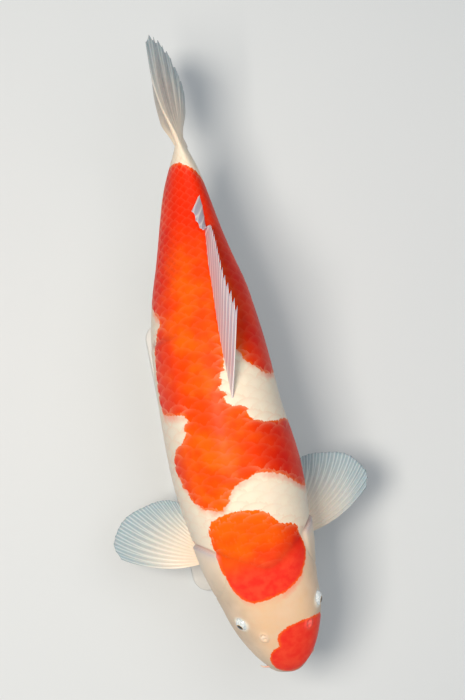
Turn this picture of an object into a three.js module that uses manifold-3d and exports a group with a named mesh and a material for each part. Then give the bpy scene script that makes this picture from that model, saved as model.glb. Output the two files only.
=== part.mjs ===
// Life-size model of a show koi, a white carp with red markings, on a plain display stand.
// Millimetres, +Z up. The head points to -Y and the fish's left side faces +X.
// The origin is the centre of the underside of the stand's base.
//
// Places on the fish are given in body coordinates: across (to the fish's left), along
// (distance behind the snout) and height (above the body's axis).

import * as THREE from "three";
import { mergeVertices } from "three/addons/utils/BufferGeometryUtils.js";
import Module from "manifold-3d";

const wasm = await Module();
wasm.setup();

// ---- driving sizes ------------------------------------------------------------------

const bodyLength = 585;          // snout to the end of the tail stalk
const axisHeight = 169;          // the body's axis above the floor
const snoutPlace = -250;         // Y of the snout tip
const gap = 0.3;                 // left between pieces that touch

const aroundBody = 28;           // facets round the body
const napeAt = 120;              // where head and trunk part, on the midline
const gillReach = 40;            // how much further back the parting runs at mid-side
const trunkCuts = [255, 395, 500];

const eye = { along: 71.5, across: 40.7, height: 17.3, radius: 8.3 };
const lipCorner = { along: 20, across: 24, drop: 15 };
const gillCover = { middle: 92, halfSpan: 50, width: 57, proud: 1.2, depth: 2.8 };

const dorsal = { from: 300, to: 525, rays: 17, root: 3.2, edge: 0.9 };
const anal = { from: 446, to: 491, root: 3, edge: 0.9 };
const tail = { rootHalfHeight: 34, spread: 22, root: 15, edge: 0.9 };

const base = { length: 320, width: 128, thickness: 14, corner: 18, bevel: 1.5 };
const rod = { radius: 5, places: [175, 352] };
const foot = { radius: 15, height: 5, chamfer: 1.5 };
const saddle = { radius: 11, height: 9, lap: 3, lip: 1, flare: 4 };

// Body stations, measured behind the snout: half width, height of the back, depth of the
// belly, level of the widest line, and squareness of the section (2 is an ellipse).
const stations = [
  { along: 0, half: 0, back: -16, belly: -16, level: -16, square: 2.2 },
  { along: 12, half: 25, back: 4, belly: -34, level: -17, square: 2.3 },
  { along: 30, half: 37.2, back: 18, belly: -46, level: -18, square: 2.4 },
  { along: 60, half: 49.2, back: 36, belly: -56, level: -16, square: 2.45 },
  { along: 100, half: 57, back: 54, belly: -65, level: -12, square: 2.4 },
  { along: 150, half: 64.5, back: 71.5, belly: -74.5, level: -8, square: 2.25 },
  { along: 227, half: 71, back: 86.5, belly: -86, level: -4, square: 2.15 },
  { along: 300, half: 66, back: 88, belly: -88.5, level: 0, square: 2.1 },
  { along: 360, half: 62.5, back: 80, belly: -83, level: 0, square: 2.1 },
  { along: 420, half: 54, back: 66, belly: -70.5, level: 0, square: 2.05 },
  { along: 470, half: 40.5, back: 51, belly: -55, level: 0, square: 2 },
  { along: 520, half: 27.5, back: 40, belly: -42, level: 0, square: 2 },
  { along: 560, half: 17.5, back: 36.5, belly: -37, level: 0, square: 2 },
  { along: 585, half: 8, back: 37, belly: -37, level: 0, square: 2 },
];

// Sideways sway of the axis, and the roll of the sections (degrees, back to the left): the
// rear trunk leans to the left and the tail stalk twists back to the right.
const sway = [[0, 16], [60, 10.5], [130, 2], [230, -4.5], [300, -9], [360, -8.5], [430, -6], [520, -2], [585, 4.5]];
const roll = [[0, 2], [120, 2], [200, 0], [300, 4], [410, 6], [480, 10], [520, 15], [585, -6]];

// ---- curves and points --------------------------------------------------------------

const radians = THREE.MathUtils.degToRad;

/** A smooth curve through [place, value] pairs that never overshoots its points. */
function smooth(pairs) {
  const x = pairs.map((pair) => pair[0]);
  const y = pairs.map((pair) => pair[1]);
  const last = x.length - 1;
  const rise = x.slice(1).map((end, i) => (y[i + 1] - y[i]) / (end - x[i]));
  const slope = x.map((_, i) => {
    if (i === 0) return rise[0];
    if (i === last) return rise[last - 1];
    if (rise[i - 1] * rise[i] <= 0) return 0;
    return 2 * rise[i - 1] * rise[i] / (rise[i - 1] + rise[i]);
  });
  return (place) => {
    const p = Math.min(Math.max(place, x[0]), x[last]);
    let i = 0;
    while (i < last - 1 && p > x[i + 1]) i += 1;
    const span = x[i + 1] - x[i];
    const t = (p - x[i]) / span;
    const ease = t * t * (3 - 2 * t);
    const start = t * (1 - t) * (1 - t) * span * slope[i];
    const end = t * t * (t - 1) * span * slope[i + 1];
    return y[i] + (y[i + 1] - y[i]) * ease + start + end;
  };
}

// The stations are smoothed over the square root of the distance, which rounds the snout.
const profile = {};
for (const name of ["half", "back", "belly", "level", "square"]) {
  const curve = smooth(stations.map((station) => [Math.sqrt(station.along), station[name]]));
  profile[name] = (along) => curve(Math.sqrt(Math.max(along, 0)));
}
const swayAt = smooth(sway);
const rollAt = smooth(roll);

/** A point given across, along and above the body's axis, in the model's own frame. */
function place(across, along, height) {
  const step = 2;
  const turn = Math.atan2(swayAt(along + step) - swayAt(along - step), 2 * step);
  const tilt = radians(rollAt(along));
  const side = across * Math.cos(tilt) + height * Math.sin(tilt);
  const up = height * Math.cos(tilt) - across * Math.sin(tilt);
  return new THREE.Vector3(
    swayAt(along) + side * Math.cos(turn),
    snoutPlace + along - side * Math.sin(turn),
    axisHeight + up,
  );
}

/** A point of the body's surface; the angle runs from the back over the left side. */
function bodyPoint(along, angle, grow = 0) {
  const power = 2 / profile.square(along);
  const level = profile.level(along);
  const across = Math.sin(angle);
  const up = Math.cos(angle);
  const reach = up > 0 ? profile.back(along) - level + grow : level - profile.belly(along) + grow;
  return place(
    (profile.half(along) + grow) * Math.sign(across) * Math.abs(across) ** power,
    along,
    level + reach * Math.sign(up) * Math.abs(up) ** power,
  );
}

/** Where the head ends: on the midline at the nape, further back along the gill covers. */
function headEnd(angle) {
  return napeAt + gillReach * Math.abs(Math.sin(angle)) ** 1.2;
}

// ---- building closed solids ---------------------------------------------------------

/** A closed geometry from points and triangles, turned so that its faces point out. */
function closed(points, triangles) {
  let volume = 0;
  for (const [a, b, c] of triangles) {
    volume += points[a].dot(new THREE.Vector3().crossVectors(points[b], points[c]));
  }
  const facing = volume < 0 ? triangles.map(([a, b, c]) => [a, c, b]) : triangles;
  const geometry = new THREE.BufferGeometry();
  geometry.setAttribute("position", new THREE.Float32BufferAttribute(points.flatMap((p) => p.toArray()), 3));
  geometry.setIndex(facing.flat());
  return geometry;
}

/** A solid through rings of equal length, closed by a fan onto a point at each end. */
function loft(rings, startPoint, endPoint) {
  const count = rings[0].length;
  const points = [...rings.flat(), startPoint, endPoint];
  const start = points.length - 2;
  const end = points.length - 1;
  const lastRing = (rings.length - 1) * count;
  const triangles = [];
  for (let k = 0; k < count; k += 1) {
    const next = (k + 1) % count;
    triangles.push([start, next, k], [end, lastRing + k, lastRing + next]);
    for (let r = 0; r < rings.length - 1; r += 1) {
      const here = r * count;
      const there = here + count;
      triangles.push([here + k, here + next, there + next], [here + k, there + next, there + k]);
    }
  }
  return closed(points, triangles);
}

/** A thin closed solid on both sides of a surface given over u and v from 0 to 1. */
function sheet(columns, rows, surface, thickness) {
  const small = 1e-3;
  const points = [];
  for (const side of [1, -1]) {
    for (let i = 0; i <= columns; i += 1) {
      for (let j = 0; j <= rows; j += 1) {
        const u = i / columns;
        const v = (j / rows) ** 1.25;
        const here = surface(u, v);
        const alongU = surface(Math.min(u + small, 1), v).sub(surface(Math.max(u - small, 0), v));
        const alongV = surface(u, Math.min(v + small, 1)).sub(surface(u, Math.max(v - small, 0)));
        const normal = alongU.cross(alongV).normalize();
        points.push(here.addScaledVector(normal, side * thickness(u, v) / 2));
      }
    }
  }
  const layer = (columns + 1) * (rows + 1);
  const index = (i, j) => i * (rows + 1) + j;
  const triangles = [];
  for (let i = 0; i < columns; i += 1) {
    for (let j = 0; j < rows; j += 1) {
      const [a, b, c, d] = [index(i, j), index(i + 1, j), index(i + 1, j + 1), index(i, j + 1)];
      triangles.push([a, b, c], [a, c, d]);
      triangles.push([layer + a, layer + c, layer + b], [layer + a, layer + d, layer + c]);
    }
  }
  const rim = [];
  for (let i = 0; i < columns; i += 1) rim.push(index(i, 0));
  for (let j = 0; j < rows; j += 1) rim.push(index(columns, j));
  for (let i = columns; i > 0; i -= 1) rim.push(index(i, rows));
  for (let j = rows; j > 0; j -= 1) rim.push(index(0, j));
  rim.forEach((a, k) => {
    const b = rim[(k + 1) % rim.length];
    triangles.push([a, layer + a, b], [b, layer + a, layer + b]);
  });
  return closed(points, triangles);
}

/** A tapering round feeler or lip along a path, with both ends closed. */
function feeler(path, radius, steps, sides) {
  const rings = [];
  for (let i = 0; i <= steps; i += 1) {
    const t = i / steps;
    const middle = path(t);
    const ahead = path(Math.min(t + 0.01, 1)).sub(path(Math.max(t - 0.01, 0))).normalize();
    const across = new THREE.Vector3(0, 0, 1).cross(ahead).normalize();
    const up = new THREE.Vector3().crossVectors(ahead, across);
    rings.push(Array.from({ length: sides }, (_, k) => {
      const angle = 2 * Math.PI * k / sides;
      return middle.clone()
        .addScaledVector(across, radius(t) * Math.cos(angle))
        .addScaledVector(up, radius(t) * Math.sin(angle));
    }));
  }
  return loft(rings, path(0), path(1));
}

/** A closed geometry as a solid that can be joined and cut. */
function solid(geometry) {
  const bare = geometry.clone();
  bare.deleteAttribute("normal");
  bare.deleteAttribute("uv");
  const merged = mergeVertices(bare, 1e-4);
  return new wasm.Manifold(new wasm.Mesh({
    numProp: 3,
    vertProperties: new Float32Array(merged.attributes.position.array),
    triVerts: new Uint32Array(merged.index.array),
  }));
}

/** A cut solid as a geometry again, without the splinters that a cut may leave. */
function shape(cut) {
  const bySize = cut.decompose().sort((a, b) => b.volume() - a.volume());
  const mesh = bySize[0].getMesh();
  const geometry = new THREE.BufferGeometry();
  geometry.setAttribute("position", new THREE.BufferAttribute(mesh.vertProperties, 3));
  geometry.setIndex(new THREE.BufferAttribute(mesh.triVerts, 1));
  return geometry;
}

// ---- finishes -----------------------------------------------------------------------

const white = { color: 0xeadfca, roughness: 0.3, metalness: 0 };
const red = { color: 0xf4501a, roughness: 0.3, metalness: 0 };
const finWhite = { color: 0xd3dbd8, roughness: 0.4, metalness: 0 };
const barbelRed = { color: 0xd9604a, roughness: 0.4, metalness: 0 };
const eyeSilver = { color: 0xdfe8e6, roughness: 0.1, metalness: 0.2 };
const lacquer = { color: 0xd9d8d3, roughness: 0.45, metalness: 0 };
const steel = { color: 0xb9bcbf, roughness: 0.3, metalness: 1 };

const koi = new THREE.Group();

/** Adds one named piece with its own material. */
function piece(name, geometry, finish) {
  geometry.computeVertexNormals();
  const mesh = new THREE.Mesh(geometry, new THREE.MeshStandardMaterial(finish));
  mesh.name = name;
  koi.add(mesh);
  return mesh;
}

// ---- body: head, three trunk lengths and the tail stalk ------------------------------

/** Rings of the body between two ends, each given as a distance for every angle. */
function bodyRings(from, to, count, ease = (t) => t) {
  return Array.from({ length: count + 1 }, (_, i) => Array.from({ length: aroundBody }, (_, k) => {
    const angle = 2 * Math.PI * k / aroundBody;
    return bodyPoint(from(angle) + (to(angle) - from(angle)) * ease(i / count), angle);
  }));
}

const everywhere = (along) => () => along;
const headMiddle = napeAt + gillReach / 2;
const partingGap = 0.4;

const snoutRound = 0.06;         // share of the head taken by its first ring
const snoutEase = (t) => snoutRound ** 2 + (1 - snoutRound ** 2) * t ** 1.7;
const headRings = bodyRings(everywhere(0), headEnd, 11, snoutEase);
const headBlock = solid(loft(headRings, place(0, 0, profile.level(0)), place(0, headMiddle, 0)));

/** The body's full form, a little larger all round, for cutting what meets it. */
function wholeBody(grow) {
  const count = 30;
  const rings = Array.from({ length: count + 1 }, (_, i) => {
    const along = 0.5 + (bodyLength - 0.5) * (i / count) ** 1.4;
    return Array.from({ length: aroundBody }, (_, k) => bodyPoint(along, 2 * Math.PI * k / aroundBody, grow));
  });
  return solid(loft(rings, place(0, -grow, profile.level(0)), place(0, bodyLength + grow, 0)));
}
const nearBody = wholeBody(gap + 0.2);

/** A trunk length between two distances behind the snout. */
function trunkLength(from, to, count, startMiddle) {
  return loft(bodyRings(from, everywhere(to), count), place(0, startMiddle, 0), place(0, to, 0));
}

const trunkStarts = trunkCuts.map((cut) => cut + partingGap);
piece("trunk_middle", trunkLength(everywhere(trunkStarts[0]), trunkCuts[1], 6, trunkStarts[0]), red);
piece("trunk_rear", trunkLength(everywhere(trunkStarts[1]), trunkCuts[2], 5, trunkStarts[1]), red);
piece("tail_stalk", trunkLength(everywhere(trunkStarts[2]), bodyLength, 5, trunkStarts[2]), white);

// ---- head: eyes, lips, gill covers and barbels ---------------------------------------

function eyeball(side, grow) {
  const ball = new THREE.SphereGeometry(eye.radius + grow, 12, 8);
  ball.applyMatrix4(new THREE.Matrix4().setPosition(place(side * eye.across, eye.along, eye.height)));
  return ball;
}

/** Lips bend round the snout from corner to corner; the upper one lies over the lower. */
function lip(front, level, thick, thin, corner) {
  const path = (t) => {
    const turn = (t - 0.5) * Math.PI;
    return place(
      corner.across * Math.sin(turn),
      front + (corner.along - front) * (1 - Math.cos(turn)),
      level - corner.drop * Math.abs(Math.sin(turn)) ** 2,
    );
  };
  const radius = (t) => thin + (thick - thin) * Math.cos((t - 0.5) * Math.PI) ** 0.7;
  return (grow) => feeler(path, (t) => radius(t) + grow, 12, 8);
}
const upperLip = lip(4, -17.5, 5.4, 2, lipCorner);
const lowerLip = lip(8, -28, 4.6, 1.6, { along: 21, across: 22.5, drop: 8.5 });

/** The gill cover is a plate let into the side of the head, with a rounded front edge. */
function coverPlate(side, proud, depth, spare) {
  const middle = radians(gillCover.middle);
  const halfSpan = radians(gillCover.halfSpan);
  const edge = (v, u) => {
    const offset = (2 * v - 1) * (1 + spare / gillCover.width);
    const angle = middle + halfSpan * 0.97 * offset;
    const width = gillCover.width * Math.sqrt(Math.max(1 - (0.97 * (2 * v - 1)) ** 2, 0)) + 2 * spare;
    const rear = headEnd(angle) - 0.1 + spare;
    return [rear - width * (1 - u), side * angle];
  };
  const columns = 4;
  const rows = 9;
  const rings = Array.from({ length: rows + 1 }, (_, j) => {
    const outer = Array.from({ length: columns + 1 }, (_, i) => {
      const [along, angle] = edge(j / rows, i / columns);
      return bodyPoint(along, angle, proud);
    });
    const inner = Array.from({ length: columns + 1 }, (_, i) => {
      const [along, angle] = edge(j / rows, 1 - i / columns);
      return bodyPoint(along, angle, -depth);
    });
    return [...outer, ...inner];
  });
  const middleOf = (ring) => ring.reduce((sum, p) => sum.add(p), new THREE.Vector3()).divideScalar(ring.length);
  return loft(rings, middleOf(rings[0]), middleOf(rings[rows]));
}

let head = headBlock;
let nearSkin = nearBody;
let shoulders = solid(trunkLength(
  (angle) => headEnd(angle) + partingGap,
  trunkCuts[0],
  5,
  headMiddle + partingGap,
));
for (const [sideName, side] of [["left", 1], ["right", -1]]) {
  head = head.subtract(solid(eyeball(side, gap)));
  const coverRecess = solid(coverPlate(side, 8, gillCover.depth + gap, gap));
  head = head.subtract(coverRecess);
  shoulders = shoulders.subtract(coverRecess);
  nearSkin = nearSkin.add(solid(coverPlate(side, gillCover.proud + gap, gillCover.depth, gap)));
  piece(`eye_${sideName}`, eyeball(side, 0), eyeSilver);
  piece(`gill_cover_${sideName}`, coverPlate(side, gillCover.proud, gillCover.depth, 0), white);
}
head = head.subtract(solid(upperLip(gap))).subtract(solid(lowerLip(gap)));
const lowerLipClear = solid(lowerLip(0)).subtract(solid(upperLip(gap)));
piece("upper_lip", upperLip(0), red);
piece("lower_lip", shape(lowerLipClear), red);
piece("head", shape(head), white);
piece("trunk_front", shape(shoulders), red);

/** Barbels curve out, down and back from beside the mouth. */
function barbel(side, root, reach, thick) {
  const path = (t) => place(
    side * (root.across + reach.out * Math.sin(t * Math.PI / 2)),
    root.along + reach.back * t * t,
    root.height - reach.down * t,
  );
  return solid(feeler(path, (t) => thick * (1 - 0.6 * t), 6, 6));
}
const nearHead = nearBody.add(solid(upperLip(gap))).add(solid(lowerLip(gap)));
const barbels = {
  upper: { root: { across: 17, along: 11, height: -21 }, reach: { out: 9, back: 5, down: 10 }, thick: 1.3 },
  corner: { root: { across: 22, along: 23, height: -33 }, reach: { out: 13, back: 16, down: 17 }, thick: 1.8 },
};
for (const [name, { root, reach, thick }] of Object.entries(barbels)) {
  for (const [sideName, side] of [["left", 1], ["right", -1]]) {
    piece(`barbel_${name}_${sideName}`, shape(barbel(side, root, reach, thick).subtract(nearHead)), barbelRed);
  }
}

// ---- fins ---------------------------------------------------------------------------

/** Adds a fin sheet, cut clear of the body. */
function fin(name, columns, rows, surface, thickness) {
  piece(name, shape(solid(sheet(columns, rows, surface, thickness)).subtract(nearSkin)), finWhite);
}

/** A thickness that falls from root to edge. */
function taper(root, edge, power) {
  return (u, v) => edge + (root - edge) * (1 - v) ** power;
}

// The dorsal fin is folded back and leans to the left. Its rays end in free points, and
// the last few are flipped over to the right. Each ray runs from the ridge of the back by
// so much backwards, upwards and to the left.
const rayBack = smooth([[0, 100], [0.3, 82], [0.6, 58], [0.8, 36], [0.9, 4], [1, -26]]);
const rayRise = smooth([[0, 42], [0.3, 18], [0.6, 7], [0.8, 6], [0.9, 18], [1, 18]]);
const rayLean = smooth([[0, 12], [0.3, 5], [0.6, 1.5], [0.8, 0], [0.9, -8], [1, -19]]);
const rootDepth = 5;             // how far a fin's root lies in the body
const notch = 0.09;              // how far the web falls short of the ray tips
const bow = 0.06;                // how far a ray bows from straight

fin("dorsal_fin", 2 * (dorsal.rays - 1), 3, (u, v) => {
  const along = dorsal.from + (dorsal.to - dorsal.from) * u;
  const betweenRays = Math.abs(Math.sin(Math.PI * u * (dorsal.rays - 1)));
  const reach = v * (1 - notch * betweenRays);
  const bend = bow * Math.sin(Math.PI * v);
  return place(
    rayLean(u) * reach ** 1.2,
    along + rayBack(u) * (reach - bend),
    profile.back(along) - rootDepth * (1 - reach) + rayRise(u) * (reach + bend),
  );
}, taper(dorsal.root, dorsal.edge, 1.5));

// The anal fin is short and set far back.
const analBack = smooth([[0, 50], [0.4, 46], [1, 36]]);
const analDrop = smooth([[0, 58], [0.4, 40], [1, 14]]);
fin("anal_fin", 8, 5, (u, v) => {
  const along = anal.from + (anal.to - anal.from) * u;
  return place(
    -3 * v * v,
    along + analBack(u) * (v + 0.25 * v * v - 0.08 * Math.sin(Math.PI * v)),
    profile.belly(along) + rootDepth * (1 - v) - analDrop(u) * (v - 0.15 * v * v),
  );
}, taper(anal.root, anal.edge, 1.5));

/** A paired fin: rays fan from a short root, from its leading ray to the innermost one. */
function pairedFin(name, side, size) {
  const length = smooth(size.lengths);
  const turn = smooth(size.turns);
  const dip = radians(size.dip);
  fin(name, size.columns, size.rows, (u, v) => {
    const angle = radians(turn(u) - size.sweep * (1 - v) * (1 - 0.6 * u));
    const reach = length(u) * v;
    const outward = reach * Math.cos(angle);
    const drop = size.sag * v * v + size.trail * reach * Math.sin(angle);
    return place(
      side * (size.root.across - size.sink + (outward + size.sink * v) * Math.cos(dip)),
      size.root.along + size.chord * (u - 0.5) * (1 - 0.4 * v) + reach * Math.sin(angle),
      size.root.height - size.slant * u * (1 - v) - outward * Math.sin(dip) - drop,
    );
  }, taper(size.thick, 0.8, 1.3));
}

const pectoral = {
  root: { across: 54, along: 148, height: -48 }, sink: 7, chord: 22, slant: 6, thick: 5,
  sag: 5, trail: 0.08, sweep: 21, columns: 14, rows: 6,
};
pairedFin("pectoral_fin_right", -1, {
  ...pectoral,
  dip: 14,
  lengths: [[0, 95], [0.12, 104], [0.3, 100], [0.55, 82], [0.8, 66], [1, 46]],
  turns: [[0, 13], [0.12, 21], [0.3, 33], [0.55, 51], [0.8, 68], [1, 82]],
});
pairedFin("pectoral_fin_left", 1, {
  ...pectoral,
  dip: 3,
  sweep: 27,
  lengths: [[0, 96], [0.12, 105], [0.3, 104], [0.55, 89], [0.8, 72], [1, 49]],
  turns: [[0, 17], [0.12, 25], [0.3, 36], [0.55, 53], [0.8, 71], [1, 84]],
});

const pelvic = {
  root: { across: 21, along: 292, height: -86 }, sink: 5, chord: 15, slant: 2, thick: 4,
  dip: 50, sag: 3, trail: 0.1, sweep: 12, columns: 8, rows: 5,
  lengths: [[0, 70], [0.2, 76], [0.6, 64], [1, 38]],
  turns: [[0, 54], [0.2, 60], [0.6, 71], [1, 85]],
};
pairedFin("pelvic_fin_left", 1, pelvic);
pairedFin("pelvic_fin_right", -1, pelvic);

// The tail fin is cupped: its middle bows to the left while both lobes swing to the right.
const tailReach = smooth([[0, 60], [0.3, 70], [0.6, 96], [0.85, 122], [0.95, 126], [1, 119]]);
const upperBend = smooth([[0, 0], [20, 0.4], [50, 0.85], [80, 1], [126, 0.9]]);
const lowerBend = smooth([[0, 0], [20, 0.6], [45, 1], [80, 0.9], [126, 0.7]]);
function tailSwing(height, along) {
  if (height > 0) return (17 - 32 * height ** 2) * upperBend(along);
  return (17 - 41 * height ** 2) * lowerBend(along);
}

function tailLobe(name, side) {
  const split = 0.004;           // half of the thin cut between the lobes
  fin(name, 9, 6, (u, v) => {
    const height = side * (split + (1 - split) * u);
    const along = tailReach(Math.abs(height)) * v;
    const angle = radians(tail.spread * height);
    return place(
      tailSwing(height, along),
      bodyLength - 1 + along * Math.cos(angle),
      tail.rootHalfHeight * height + along * Math.sin(angle),
    );
  }, taper(tail.root, tail.edge, 6));
}
tailLobe("tail_fin_upper_lobe", 1);
tailLobe("tail_fin_lower_lobe", -1);

// ---- stand --------------------------------------------------------------------------

function roundedPlate() {
  const x = base.width / 2 - base.bevel;
  const y = base.length / 2 - base.bevel;
  const r = base.corner - base.bevel;
  const outline = new THREE.Shape();
  outline.absarc(x - r, y - r, r, 0, Math.PI / 2);
  outline.absarc(r - x, y - r, r, Math.PI / 2, Math.PI);
  outline.absarc(r - x, r - y, r, Math.PI, 1.5 * Math.PI);
  outline.absarc(x - r, r - y, r, 1.5 * Math.PI, 2 * Math.PI);
  return new THREE.ExtrudeGeometry(outline, {
    depth: base.thickness - 2 * base.bevel,
    bevelEnabled: true,
    bevelThickness: base.bevel,
    bevelSize: base.bevel,
    bevelSegments: 1,
    curveSegments: 5,
  }).translate(0, 0, base.bevel);
}
piece("stand_base", roundedPlate(), lacquer);

/** A round column about the Z axis, from a profile of [radius, height] pairs. */
function turned(pairs, x, y) {
  const points = pairs.map(([radius, height]) => new THREE.Vector2(radius, height));
  return new THREE.LatheGeometry(points, 20).rotateX(Math.PI / 2).translate(x, y, 0);
}

rod.places.forEach((along, i) => {
  const name = ["front", "rear"][i];
  const x = swayAt(along);
  const y = snoutPlace + along;
  const footTop = base.thickness + foot.height;
  const rodTop = axisHeight + profile.belly(along) - saddle.height + saddle.lap;
  piece(`stand_foot_${name}`, turned([
    [0, base.thickness],
    [foot.radius, base.thickness],
    [foot.radius, footTop - foot.chamfer],
    [foot.radius - foot.chamfer, footTop],
    [0, footTop],
  ], x, y), steel);
  piece(`stand_rod_${name}`, turned([
    [0, footTop],
    [rod.radius, footTop],
    [rod.radius, rodTop],
    [0, rodTop],
  ], x, y), steel);
  const pad = turned([
    [0, rodTop],
    [rod.radius + saddle.lip, rodTop],
    [saddle.radius, rodTop + saddle.flare],
    [saddle.radius, rodTop + 2 * saddle.height],
    [0, rodTop + 2 * saddle.height],
  ], x, y);
  piece(`stand_saddle_${name}`, shape(solid(pad).subtract(nearBody)), steel);
});

export default koi;
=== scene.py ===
"""A show koi, white with red markings, as a life-size still model on a plain display stand.

Places on the fish are given in body coordinates, in millimetres: across (to the fish's left),
along (behind the snout) and height (over the body's axis). An angle goes round a section from
0 on the back to 90 degrees on the left side, and is negative on the right side.
"""

import bpy
import numpy as np
from mathutils import Matrix, Vector


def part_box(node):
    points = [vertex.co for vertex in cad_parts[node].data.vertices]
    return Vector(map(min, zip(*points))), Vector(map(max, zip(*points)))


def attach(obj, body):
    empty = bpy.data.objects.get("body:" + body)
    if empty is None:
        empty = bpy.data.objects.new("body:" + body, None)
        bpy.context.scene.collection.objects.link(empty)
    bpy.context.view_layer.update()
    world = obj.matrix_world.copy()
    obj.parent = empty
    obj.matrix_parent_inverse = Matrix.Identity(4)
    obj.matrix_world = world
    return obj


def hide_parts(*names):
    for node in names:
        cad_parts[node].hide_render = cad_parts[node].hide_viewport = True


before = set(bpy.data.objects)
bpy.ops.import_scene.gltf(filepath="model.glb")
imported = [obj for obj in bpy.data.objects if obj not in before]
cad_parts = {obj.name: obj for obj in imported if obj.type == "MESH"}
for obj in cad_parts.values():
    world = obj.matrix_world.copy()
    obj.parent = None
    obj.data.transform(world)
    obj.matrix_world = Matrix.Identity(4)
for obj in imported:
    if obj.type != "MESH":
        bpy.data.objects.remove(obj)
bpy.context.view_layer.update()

MM = 0.001
pi = np.pi

# ---- sizes shared with the solids -----------------------------------------------------

BODY_LENGTH = 585
AXIS_HEIGHT = 169
SNOUT_PLACE = -250
NAPE, GILL_REACH, GILL_CURVE = 120, 40, 1.2

# along, half width, back, belly, level of the widest line, squareness of the section
STATIONS = np.array([
    (0, 0, -16, -16, -16, 2.2),
    (12, 25, 4, -34, -17, 2.3),
    (30, 37.2, 18, -46, -18, 2.4),
    (60, 49.2, 36, -56, -16, 2.45),
    (100, 57, 54, -65, -12, 2.4),
    (150, 64.5, 71.5, -74.5, -8, 2.25),
    (227, 71, 86.5, -86, -4, 2.15),
    (300, 66, 88, -88.5, 0, 2.1),
    (360, 62.5, 80, -83, 0, 2.1),
    (420, 54, 66, -70.5, 0, 2.05),
    (470, 40.5, 51, -55, 0, 2),
    (520, 27.5, 40, -42, 0, 2),
    (560, 17.5, 36.5, -37, 0, 2),
    (585, 8, 37, -37, 0, 2),
])
SWAY = [(0, 16), (60, 10.5), (130, 2), (230, -4.5), (300, -9), (360, -8.5), (430, -6), (520, -2), (585, 4.5)]
ROLL = [(0, 2), (120, 2), (200, 0), (300, 4), (410, 6), (480, 10), (520, 15), (585, -6)]

SHEATH = 20                    # how far the skin reaches over the root of the tail
TAIL_ROOT = 34                 # half the height of the tail where it leaves the stalk
TAIL_FAN = np.radians(22)      # how far its outermost rays turn up and down from the axis
TAIL_RAYS = 24

EYE = np.array([40.7, 71.5, 17.3])
EYE_RADIUS = 8.8

# ---- curves ---------------------------------------------------------------------------


def smooth(pairs):
    """A curve through (place, value) pairs: cubic steps whose slope at an inner point is the
    harmonic mean of the slopes beside it, or nought at a peak, so that it never overshoots."""
    x, y = np.array(pairs, float).T
    span = np.diff(x)
    rise = np.diff(y) / span
    product = rise[:-1] * rise[1:]
    total = np.where(product > 0, rise[:-1] + rise[1:], 1)
    inner = np.where(product > 0, 2 * product / total, 0)
    slope = np.concatenate([rise[:1], inner, rise[-1:]])

    def curve(place):
        p = np.clip(place, x[0], x[-1])
        i = np.clip(np.searchsorted(x, p, side="right") - 1, 0, len(x) - 2)
        t = (p - x[i]) / span[i]
        step = (y[i + 1] - y[i]) * t * t * (3 - 2 * t)
        bow = t * (1 - t) ** 2 * slope[i] + t * t * (t - 1) * slope[i + 1]
        return y[i] + step + span[i] * bow

    return curve


def ease(value, low, high):
    """0 below low, 1 above high and 3t² - 2t³ between them."""
    t = np.clip((value - low) / (high - low), 0, 1)
    return t * t * (3 - 2 * t)


def bell(distance, width):
    """1 at no distance, falling off as exp(-(distance / width)²)."""
    return np.exp(-((distance / width) ** 2))


def over(a, b, round_off):
    """The larger of two heights, with the corner between them rounded off."""
    return (a + b + np.sqrt((a - b) ** 2 + round_off**2)) / 2


def signed_power(value, power):
    return np.sign(value) * np.abs(value) ** power


# ---- the body's form ------------------------------------------------------------------

SHAPE = {
    name: smooth(np.column_stack([np.sqrt(STATIONS[:, 0]), STATIONS[:, i + 1]]))
    for i, name in enumerate(["half", "back", "belly", "level", "square"])
}
sway_at = smooth(SWAY)
roll_at = smooth(ROLL)


def size(name, along):
    """One of the body's sizes at a distance behind the snout."""
    return SHAPE[name](np.sqrt(np.maximum(along, 0)))


def place(across, along, height):
    """A point in body coordinates, in metres in the model's frame: the section is rolled about
    the axis, turned square to the axis's sway, and moved to its place on the axis."""
    turn = np.arctan2(sway_at(along + 2) - sway_at(along - 2), 4)
    tilt = np.radians(roll_at(along))
    side = across * np.cos(tilt) + height * np.sin(tilt)
    up = height * np.cos(tilt) - across * np.sin(tilt)
    x = sway_at(along) + side * np.cos(turn)
    y = SNOUT_PLACE + along - side * np.sin(turn)
    return np.stack(np.broadcast_arrays(x, y, AXIS_HEIGHT + up), -1) * MM


def placed(points):
    """place for points given as (across, along, height)."""
    return place(points[..., 0], points[..., 1], points[..., 2])


def unit(vectors):
    """Vectors scaled to length 1; one of no length stays as it is."""
    return vectors / np.maximum(np.linalg.norm(vectors, axis=-1, keepdims=True), 1e-9)


def flank(along, angle, grow=0.0):
    """Body coordinates of the body's surface: a superellipse round the widest line, with its
    upper reach up to the back and its lower reach down to the belly, grown outwards."""
    along, angle = np.broadcast_arrays(np.asarray(along, float), angle)
    power = 2 / size("square", along)
    level = size("level", along)
    upper = np.cos(angle) > 0
    reach = np.where(upper, size("back", along) - level, level - size("belly", along)) + grow
    across = (size("half", along) + grow) * signed_power(np.sin(angle), power)
    return np.stack([across, along, level + reach * signed_power(np.cos(angle), power)], -1)


def girth_radius(along):
    """Mean radius of a section, which turns an angle into millimetres round the body."""
    return (size("half", along) + (size("back", along) - size("belly", along)) / 2) / 2


def head_end(angle):
    """Where head and trunk meet: at the nape on the midline, further back at the gill covers."""
    return NAPE + GILL_REACH * np.abs(np.sin(angle)) ** GILL_CURVE


tail_reach = smooth([(0, 62), (0.3, 77), (0.55, 103), (0.8, 121), (0.95, 126), (1, 119)])
upper_bend = smooth([(0, 0), (20, 0.3), (50, 0.8), (80, 1), (126, 0.9)])
lower_bend = smooth([(0, 0), (20, 0.3), (45, 0.8), (80, 0.9), (126, 0.7)])


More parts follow.
